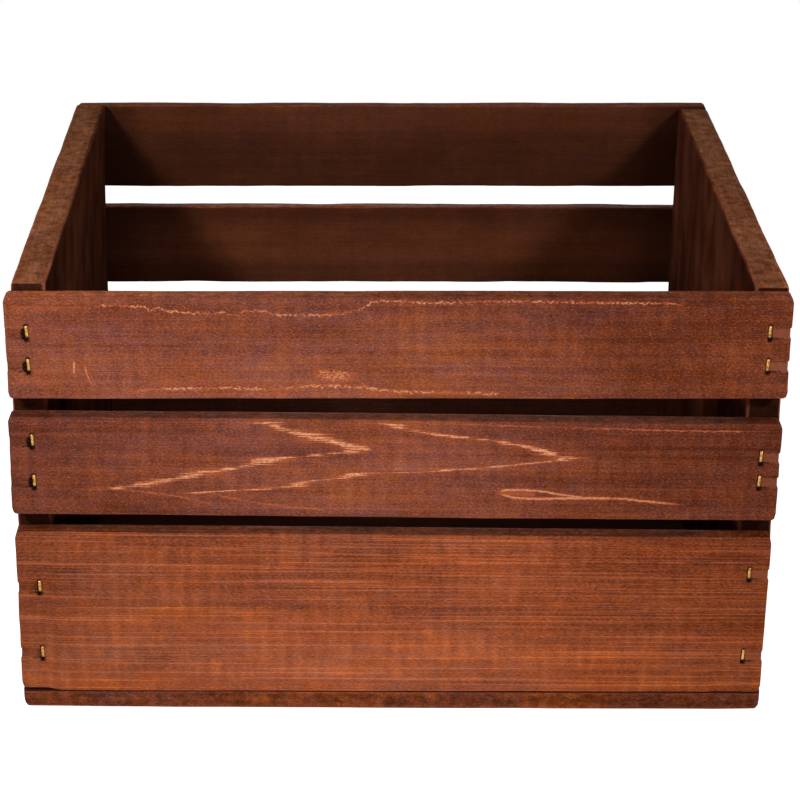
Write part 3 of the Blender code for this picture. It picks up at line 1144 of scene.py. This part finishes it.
@dataclass
class Staple:
    """A narrow-crown staple of flattened wire.

    Attributes:
        crown: Its width outside.
        leg: Its length, crown included.
        wire_width: The wire's width, along the board.
        wire_depth: The wire's depth, into the board.
        bend: Radius of its shoulders at the middle of the wire.
        sink: How deep its crown is under the board's face.
        lean: How much it leans.
    """

    crown: float = 5.7 * MM
    leg: float = 22.0 * MM
    wire_width: float = 1.25 * MM
    wire_depth: float = 1.0 * MM
    bend: float = 0.75 * MM
    sink: float = 0.4 * MM
    lean: float = math.radians(2.5)

    def build(
        self, node: str, board: Board, mark: StaplerMark, material: bpy.types.Material
    ) -> bpy.types.Object:
        """Builds the staple and puts it in place of its node.

        Args:
            node: The node.
            board: The board that it is in.
            mark: Where it is in the board.
            material: Its finish.

        Returns:
            The staple's object.
        """
        mesh = to_mesh(self._wire(), node)
        spot = Matrix.Translation((mark.x, self.sink, mark.z))
        mesh.transform(board.place() @ spot @ Matrix.Rotation(mark.side * self.lean, 4, "Y"))
        mesh.shade_smooth()
        staple = show(mesh, f"wire_{node}", material)
        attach(staple, "root")
        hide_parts(node)
        return staple

    def _wire(self) -> bmesh.types.BMesh:
        """Bends the wire: up one leg, over the crown and down the other leg."""
        bm = bmesh.new()
        low, high = self.wire_depth / 2, self.crown / 2 - self.wire_depth / 2
        ring = bmesh.ops.create_circle(bm, cap_ends=True, segments=16, radius=1)["verts"]
        for vert in ring:
            vert.co.x = math.copysign(abs(vert.co.x) ** 0.5, vert.co.x)
            vert.co.y = math.copysign(abs(vert.co.y) ** 0.5, vert.co.y)
        bmesh.ops.scale(bm, vec=(self.wire_width / 2, self.wire_depth / 2, 1), verts=ring)
        bmesh.ops.rotate(bm, matrix=Matrix.Rotation(math.pi / 2, 3, "X"), verts=ring)
        bmesh.ops.translate(bm, vec=(0, self.leg, -high), verts=ring)
        edges = self._draw_on(bm, list(bm.edges), (0, low + self.bend - self.leg, 0))
        edges = self._turn_on(bm, edges, (0, low + self.bend, self.bend - high))
        edges = self._draw_on(bm, edges, (0, 0, 2 * (high - self.bend)))
        edges = self._turn_on(bm, edges, (0, low + self.bend, high - self.bend))
        edges = self._draw_on(bm, edges, (0, self.leg - low - self.bend, 0))
        bmesh.ops.contextual_create(bm, geom=edges)
        bmesh.ops.recalc_face_normals(bm, faces=bm.faces)
        return bm

    @staticmethod
    def _draw_on(bm: bmesh.types.BMesh, edges: list, step: tuple) -> list:
        """Draws the wire's open end on.

        Args:
            bm: The wire.
            edges: The edges of its open end.
            step: How far to draw it.

        Returns:
            The edges of the new open end.
        """
        made = bmesh.ops.extrude_edge_only(bm, edges=edges)["geom"]
        verts = [item for item in made if isinstance(item, bmesh.types.BMVert)]
        bmesh.ops.translate(bm, vec=step, verts=verts)
        return [item for item in made if isinstance(item, bmesh.types.BMEdge)]

    @staticmethod
    def _turn_on(bm: bmesh.types.BMesh, edges: list, centre: tuple) -> list:
        """Bends the wire's open end through a right angle, and returns the new open edges."""
        made = bmesh.ops.spin(
            bm, geom=edges, cent=centre, axis=(1, 0, 0), angle=-math.pi / 2, steps=5
        )["geom_last"]
        return [item for item in made if isinstance(item, bmesh.types.BMEdge)]


@dataclass
class HalfCrate:
    """The whole crate: its end boards, slats, floor and staples.

    Attributes:
        width: Its outside width.
        slat_thickness: Thickness of the slats and the floor.
        end_thickness: Thickness of the end boards.
        end_height: Height of the end boards.
        end_length: Length of the end boards, front to back.
        front_top: Height of the top front slat.
        front_middle: Height of the middle front slat.
        wide: Height of the lowest slats.
        back_top: Height of the top back slat.
        back_middle: Height of the middle back slat.
        floor_width: Width of a floor board.
        overhang: How far the narrow front slats reach past the end boards.
        left_toe: How far the left end board's front end is set in.
        left_cup: How far the left end board's middle bulges outwards.
    """

    width: float = 319.6 * MM
    slat_thickness: float = 8.0 * MM
    end_thickness: float = 14.5 * MM
    end_height: float = 184.1 * MM
    end_length: float = 265.4 * MM
    front_top: float = 44.5 * MM
    front_middle: float = 44.2 * MM
    wide: float = 74.2 * MM
    back_top: float = 42.6 * MM
    back_middle: float = 41.0 * MM
    floor_width: float = 89.0 * MM
    overhang: float = 0.4 * MM
    left_toe: float = 2.0 * MM
    left_cup: float = 2.2 * MM

    def slat(
        self, node: str, height: float, looks: Looks, overhang: float = 0.0, **wear: Any
    ) -> Board:
        """Describes a slat.

        Args:
            node: The node that it stands for.
            height: Its height.
            looks: Which way its outer face looks.
            overhang: How far it reaches past the end boards.
            wear: What else sets it apart, as fields of Board.

        Returns:
            The slat.
        """
        length = self.width + 2 * overhang
        return Board(node, length, height, self.slat_thickness, looks, "slat_stain", **wear)

    def boards(self) -> list[tuple[Board, StainedPine]]:
        """Lists the boards with their finishes."""
        front, back, over = Looks.FRONT, Looks.BACK, self.overhang
        noses = (0.25 * MM, 0.9 * MM)
        slats = [
            (self.slat("front_top_slat", self.front_top, front, over, seed=11, rise=1.8 * MM,
                       nose_depths=noses), TOP_SLAT_PINE),
            (self.slat("front_middle_slat", self.front_middle, front, over, seed=23,
                       rise=-1.7 * MM, nose_depths=noses), MIDDLE_SLAT_PINE),
            (self.slat("front_bottom_slat", self.wide, front, -0.25 * MM, seed=37, rise=-1.4 * MM,
                       nose_depths=(0.8 * MM, 0.8 * MM), arris=0.3 * MM, smear=0.5,
                       sag=((-148, 0.3), (-144, 1.4), (-100, 1.25), (0, 0.82), (100, 0.4),
                            (136, 0.2), (140, -0.2))), BOTTOM_SLAT_PINE),
            (self.slat("back_top_slat", self.back_top, back, seed=41, rise=-2.2 * MM,
                       arris=1.2 * MM), BACK_TOP_PINE),
            (self.slat("back_middle_slat", self.back_middle, back, seed=53, rise=-1.3 * MM,
                       arris=1.4 * MM), BACK_MIDDLE_PINE),
            (self.slat("back_bottom_slat", self.wide, back, seed=67), STRAIGHT_PINE),
        ]
        floor = [
            (Board(f"floor_board_{number}", self.width, self.floor_width, self.slat_thickness,
                   Looks.DOWN, "floor_stain", arris=0.3 * MM, splinter=0.3 * MM, blunt=3.0 * MM,
                   thin=((-160, 0.8), (-125, 0.4), (-60, 0.1), (0, 0), (140, 0), (160, 0.4)),
                   seed=70 + 9 * number), FLOOR_PINE)
            for number in (1, 2, 3)
        ]
        ends = [
            (Board(f"{side}_end_board", self.end_length, self.end_height, self.end_thickness,
                   looks, "end_board_stain", toe=toe, cup=cup, arris=1.1 * MM, splinter=3.2 * MM,
                   seed=seed), pine)
            for side, looks, toe, cup, seed, pine in (
                ("left", Looks.LEFT, self.left_toe, self.left_cup, 101, LEFT_END_PINE),
                ("right", Looks.RIGHT, 0.0, 0.0, 113, RIGHT_END_PINE),
            )
        ]
        return slats + floor + ends

    def build(self, nodes: Sequence[str]) -> None:
        """Builds every board and staple.

        Args:
            nodes: The names of the frame's nodes.
        """
        finishes: dict[str, bpy.types.Material] = {}
        wire = BrassWire().material()
        for board, pine in self.boards():
            if pine.name not in finishes:
                finishes[pine.name] = pine.material()
            board.find_marks(nodes)
            piece = board.build(finishes[pine.name])
            LOG.info("%s: %d faces", piece.name, len(piece.data.polygons))
            for name, mark in board.marks.items():
                LOG.info("%s", Staple().build(name, board, mark, wire).name)


TOP_SLAT_PINE = StainedPine(
    "top_slat_pine", Figure.STRAIGHT, Grain(streak=0.25, speck=1.2, ring=0.1, blotch=0.5, hue=0.85),
    lines=(
        Streak(
            ((-124, 17.2), (-120, 18.7), (-116, 19.0), (-111, 18.3), (-103, 18.3), (-101, 16.8),
             (-97, 17.9), (-95, 16.4), (-90, 16.0), (-78, 15.3), (-72, 15.7), (-66, 14.6),
             (-63, 16.2), (-58, 16.4), (-50, 14.9), (-35, 14.5), (-17, 16.7), (-13, 18.5),
             (-6, 20.5), (14, 19.8), (42, 20.5), (73, 20.0), (116, 19.5)),
            width=0.7, strength=0.8, ragged=1.6, dashed=0.45,
        ),
        Streak(((-160, 17.1), (-150, 17.7), (-137, 17.3), (-122, 17.5)), width=1.6, strength=0.25,
               ragged=1.0),
        Streak(((-110, -18.6), (-97, -18.0), (-73, -17.4), (-50, -17.8), (-32, -16.6), (0, -19.0),
                (44, -20.0)), width=1.0, strength=0.85, ragged=1.6, dashed=0.5),
        Streak(((-38, -11.0), (-26, -12.0), (-15, -12.5)), width=3.4, strength=0.65, ragged=3.0,
               fade=8.0, dashed=0.3),
        Streak(((-110, -12.5), (-85, -13.5), (-60, -13.0)), width=7.0, strength=0.22, ragged=2.0,
               fade=14.0, dashed=0.2),
        Fold(((-11.0, -133.0), (-6.0, -132.6)), width=0.8, strength=1.0, ragged=0.3, swell=0.3,
             fade=0.8, beaded=0.2),
        Fold(((-16.5, -125.2), (-12.0, -127.4), (-8.0, -128.3)), width=0.5, strength=0.8,
             ragged=0.3, swell=0.3, fade=0.8),
    ),
    # Darker towards the right end: partly darker stain, partly painted shade
    along=((-160, -0.06), (-100, -0.05), (-40, 0.0), (20, -0.03), (75, -0.18), (130, -0.3),
           (160, -0.3)),
    warms=0.2, painted_low_light=0.14, edge=1.5,
)
MIDDLE_SLAT_PINE = StainedPine(
    "middle_slat_pine", Figure.FOLDED,
    Grain(streak=0.15, speck=1.1, ring=0.1, blotch=0.45, hue=0.75),
    lines=(
        Fold(((-10.6, -124), (-9.2, -112), (-7.0, -103), (-5.3, -91), (-2.7, -84), (0.5, -63),
              (4.1, -54), (5.4, -40), (7.3, -24), (9.0, -16), (11.9, -25), (14.1, -33),
              (18.5, -48), (21.0, -55)), width=4.4, strength=1.0, ragged=15.0, fade=1.2),
        Streak(((-122, -9.3), (-111, -10.7), (-89, -13.7), (-80, -16.0), (-72, -19.8)), width=0.6,
               strength=0.36, dashed=0.3, beaded=0.6),
        Fold(((-12.2, -84), (-11.0, -76), (-9.6, -54), (-8.1, -43), (-5.7, -37), (-4.4, -24),
              (-2.2, -17), (-1.1, 8), (1.3, 37), (4.1, 62), (5.8, 71), (7.7, 65), (10.2, 57),
              (13.5, 40), (16.7, 12), (20.8, -4)),
             width=4.1, strength=0.95, ragged=9.0, swell=1.2, fade=1.0),
        Streak(((-80, -10.8), (-63, -15.1), (-50, -17.0), (-27, -19.1)), width=0.7, strength=0.36,
               ragged=0.9, dashed=0.4, beaded=0.6),
        Streak(((43, -10.2), (47, -8.9), (59, -9.1), (68, -10.5), (80, -12.3)), width=0.8,
               strength=0.6, ragged=0.6, fade=2.0, dashed=0.0, beaded=0.25),
        Streak(((43, -10.2), (47, -11.6), (55, -12.7), (78, -12.3), (92, -12.3)), width=0.9,
               strength=0.6, ragged=0.6, fade=3.0, dashed=0.0, beaded=0.25),
        Streak(((82, -12.3), (92, -12.3), (104, -13.4), (124, -15.4)), width=0.8, strength=0.6,
               ragged=0.6, fade=14.0, dashed=0.0, beaded=0.3),
        Streak(((41, -10.3), (48, -10.4), (60, -11.0)), width=1.8, strength=0.24, ragged=0.5,
               fade=3.0, dashed=0.0, beaded=0.2),
        Streak(((24, 21.1), (60, 20.0), (107, 19.1), (138, 18.8), (158, 20.0)),
               strength=0.4, ragged=1.0, beaded=0.4),
    ),
    # Darker towards the right end: partly darker stain, partly painted shade
    along=((-160, -0.13), (-100, -0.1), (-40, -0.01), (20, -0.03), (75, -0.17), (130, -0.28),
           (160, -0.28)),
    late=(srgb(204, 106, 62), srgb(246, 178, 134)), warms=0.15, painted_low_light=0.05, edge=0.76,
)
BOTTOM_SLAT_PINE = StainedPine(
    "bottom_slat_pine", Figure.STRAIGHT,
    Grain(streak=0.22, fleck=0.28, speck=1.1, ring=0.25, fineness=0.65, gleam=0.36, pore=0.04,
          stripe=1.2, hue=1.1, chatter=0.26),
    lines=(
        Streak(((-124, 31.1), (-64, 29.8), (8, 27.1), (82, 25.5), (156, 25.5)), strength=0.45,
               ragged=0.5, beaded=0.4),
        Streak(((-152, 22.6), (-78, 22.4), (-28, 20.9), (54, 19.5)), strength=0.4, ragged=0.5,
               beaded=0.4),
        Streak(((-30, 14.0), (58, 12.8), (156, 12.5)), strength=0.4, ragged=0.5, beaded=0.4),
    ),
    orange=(srgb(116, 51, 22), srgb(163, 81, 39), srgb(210, 110, 55)),
    violet=(srgb(92, 49, 37), srgb(128, 72, 56), srgb(170, 103, 80)),
    # Darker towards the right end: partly darker stain, partly painted shade
    along=((-160, -0.06), (20, -0.06), (75, -0.15), (130, -0.24), (160, -0.24)),
    warms=0.3, painted_low_light=0.23, edge=0.6,
)
# Painted shade: how light the back slats' inner faces are along them, darker in the crate's corners
CORNER_PAINTED_SHADE = ((-160, 0.6), (-138, 0.65), (-112, 1.0), (112, 1.0), (138, 0.65), (160, 0.6))
# Painted light and shade across the back slats' inner faces: the top one lighter towards its upper
# edge, the middle one lighter across its middle
BACK_TOP_PINE = StainedPine(
    "back_top_pine", Figure.FLAT, Grain(streak=0.4, ring=0.15),
    shade=((-21, 0.95), (-6, 0.95), (6, 1.2), (12, 1.6), (21, 1.65)), depth=CORNER_PAINTED_SHADE,
)
BACK_MIDDLE_PINE = StainedPine(
    "back_middle_pine", Figure.FLAT, Grain(streak=0.4, ring=0.15),
    shade=((-20, 1.0), (-12, 1.1), (-4, 1.55), (6, 1.5), (14, 1.1), (20, 1.0)),
    depth=CORNER_PAINTED_SHADE,
)
# The back bottom slat's inner faces are painted far darker than the other boards, as painted shade
# of the crate's inside
STRAIGHT_PINE = StainedPine(
    "straight_pine", Figure.STRAIGHT, Grain(streak=0.6), inner=srgb(49, 25, 16)
)
# The floor's upper faces: inner colour partly their own stain, partly painted shade of the crate's
# inside
FLOOR_PINE = StainedPine(
    "floor_pine", Figure.FLAT, Grain(streak=0.4, ring=0.15), edge=0.85, inner=srgb(96, 54, 40),
    # Darker towards the right end: partly darker stain, partly painted shade
    along=((-160, 0.0), (40, 0.0), (100, -0.1), (160, -0.14)),
)
LEFT_END_PINE = StainedPine(
    "left_end_board_pine", Figure.FLAT, Grain(streak=0.2, ring=0.05, chatter=0.0), roughness=0.78,
    orange=(srgb(124, 69, 39), srgb(168, 101, 65), srgb(200, 128, 86)),
    violet=(srgb(116, 69, 54), srgb(156, 101, 82), srgb(190, 132, 110)),
    # Lighter at the back end as painted light, darker at the front end as painted shade
    along=((-132, 0.09), (0, 0.0), (70, -0.09), (132, -0.15)),
    gloss=0.0, edge=1.1, grain_end=srgb(106, 96, 88), inner=srgb(136, 79, 54), saw=1.0,
    # Painted shade low on the inner faces, and painted light towards their front end
    shade=((-92, 0.26), (-45, 0.28), (-12, 0.42), (10, 0.58), (45, 0.8), (75, 1.0), (92, 1.1)),
    depth=((-132, 1.0), (-60, 1.0), (0, 1.35), (132, 1.8)),
)
# The right end board is the left one with painted light and shade of its own: a lighter inner
# colour, darker end grain, a lighter back end and lighter inner faces towards the front
RIGHT_END_PINE = replace(
    LEFT_END_PINE, name="right_end_board_pine", inner=srgb(168, 95, 67),
    along=((-132, 0.0), (0, 0.0), (70, 0.12), (132, 0.2)), grain_end=srgb(84, 76, 74),
    depth=((-132, 1.5), (0, 1.25), (60, 1.0), (132, 1.0)),
)


@dataclass(frozen=True)
class Camera:
    """The camera, placed as the photograph's was.

    Attributes:
        lens: Focal length on a 36 mm sensor.
        spot: Its place.
        yaw: Turn to the right of straight ahead, in degrees.
        pitch: Tilt down, in degrees.
        roll: Roll, in degrees.
    """

    lens: float = 109.84
    spot: tuple[float, float, float] = (-0.0145, -1.0674, 0.5333)
    yaw: float = 0.957
    pitch: float = 22.727
    roll: float = 0.66

    def build(self) -> bpy.types.Object:
        """Builds the camera and makes it the scene's own."""
        yaw, pitch, roll = (math.radians(turn) for turn in (self.yaw, self.pitch, self.roll))
        data = bpy.data.cameras.new("camera")
        data.lens = self.lens
        data.sensor_width = 36.0
        data.clip_start = 0.01
        camera = bpy.data.objects.new("camera", data)
        camera.matrix_world = (
            Matrix.Translation(self.spot) @ Matrix.Rotation(-yaw, 4, "Z")
            @ Matrix.Rotation(math.pi / 2 - pitch, 4, "X") @ Matrix.Rotation(roll, 4, "Z")
        )
        bpy.context.scene.collection.objects.link(camera)
        bpy.context.scene.camera = camera
        return camera


@dataclass(frozen=True)
class Softbox:
    """A rectangular lamp that looks at a point.

    Attributes:
        name: Its name.
        spot: Its place.
        aim: Where it looks.
        width: Its width.
        height: Its height.
        power: Its power in watts.
        spread: The angle that it shines into, in degrees.
    """

    name: str
    spot: tuple[float, float, float]
    aim: tuple[float, float, float]
    width: float
    height: float
    power: float
    spread: float = 180.0

    def build(self) -> bpy.types.Object:
        """Builds the lamp."""
        data = bpy.data.lights.new(self.name, "AREA")
        data.shape = "RECTANGLE"
        data.size, data.size_y = self.width, self.height
        data.energy = self.power
        data.spread = math.radians(self.spread)
        lamp = bpy.data.objects.new(self.name, data)
        toward = Vector(self.aim) - Vector(self.spot)
        lamp.matrix_world = (
            Matrix.Translation(self.spot) @ toward.to_track_quat("-Z", "Y").to_matrix().to_4x4()
        )
        bpy.context.scene.collection.objects.link(lamp)
        return lamp


@dataclass(frozen=True)
class Studio:
    """A white floor, a white surround and soft lamps.

    Attributes:
        lamps: The lamps.
        surround: How strongly the surround lights the object.
        floor_size: Half the floor's width.
        floor_drop: How far the floor is under the crate.
        floor_paint: The floor's colour.
        floor_glow: How much white is added to the floor where it is seen.
    """

    lamps: tuple[Softbox, ...] = (
        Softbox("left_lamp", (-0.42, -0.55, 0.58), (-0.12, 0, 0.12), 0.1, 0.1, 0.275, 45),
        Softbox("right_lamp", (0.47, -0.55, 0.5235), (0.12, 0, 0.12), 0.1, 0.1, 0.215, 45),
        Softbox("front_fill", (0.0, -0.38, 0.085), (0.0, 0, 0.09), 0.2, 0.1, 0.22),
        Softbox("back_lamp", (0.0, 0.95, 0.11), (0.0, 0.14, 0.1), 0.4, 0.19, 0.3, 25),
    )
    surround: float = 0.03
    floor_size: float = 0.7
    floor_drop: float = 0.0003
    floor_paint: tuple = (0.82, 0.82, 0.82, 1)
    floor_glow: float = 0.96

    def build(self) -> None:
        """Builds the lamps, the floor and the surround."""
        for lamp in self.lamps:
            LOG.info("lamp %s", lamp.build().name)
        self._floor()
        self._surround()

    def _floor(self) -> None:
        """Builds the pale floor, which shows white and keeps the crate's shadow."""
        bm = bmesh.new()
        bmesh.ops.create_grid(bm, x_segments=2, y_segments=2, size=self.floor_size)
        bmesh.ops.translate(bm, vec=(0, 0, -self.floor_drop), verts=bm.verts)
        material = bpy.data.materials.new("pale_floor")
        material.use_nodes = True
        graph = Graph(material.node_tree)
        graph.tree.nodes.clear()
        paint = graph.add("BsdfDiffuse", {"Color": self.floor_paint})
        glow = graph.add("Emission", {"Strength": graph.times(graph.seen(), self.floor_glow)})
        both = graph.add("AddShader", {0: paint.outputs[0], 1: glow.outputs[0]})
        graph.add("OutputMaterial", {"Surface": both.outputs[0]})
        floor = show(to_mesh(bm, "floor"), "floor", material)

    def _surround(self) -> None:
        """Builds the surround: white to the eye, dim as a light."""
        world = bpy.data.worlds.new("surround")
        bpy.context.scene.world = world
        world.use_nodes = True
        graph = Graph(world.node_tree)
        graph.tree.nodes.clear()
        dim = graph.add("Background", {"Color": WHITE, "Strength": self.surround})
        white = graph.add("Background", {"Color": WHITE})
        shown = graph.add("MixShader", {0: graph.seen(), 1: dim.outputs[0], 2: white.outputs[0]})
        graph.add("OutputWorld", {"Surface": shown.outputs[0]})


def main() -> None:
    """Builds the crate, the camera and the studio."""
    logging.basicConfig(level=logging.INFO, format="%(message)s")
    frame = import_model()
    LOG.info("camera %s", Camera().build().name)
    HalfCrate().build(sorted(frame["nodes"]))
    Studio().build()
    bpy.context.scene.view_settings.view_transform = "Standard"


if __name__ == "__main__":
    main()
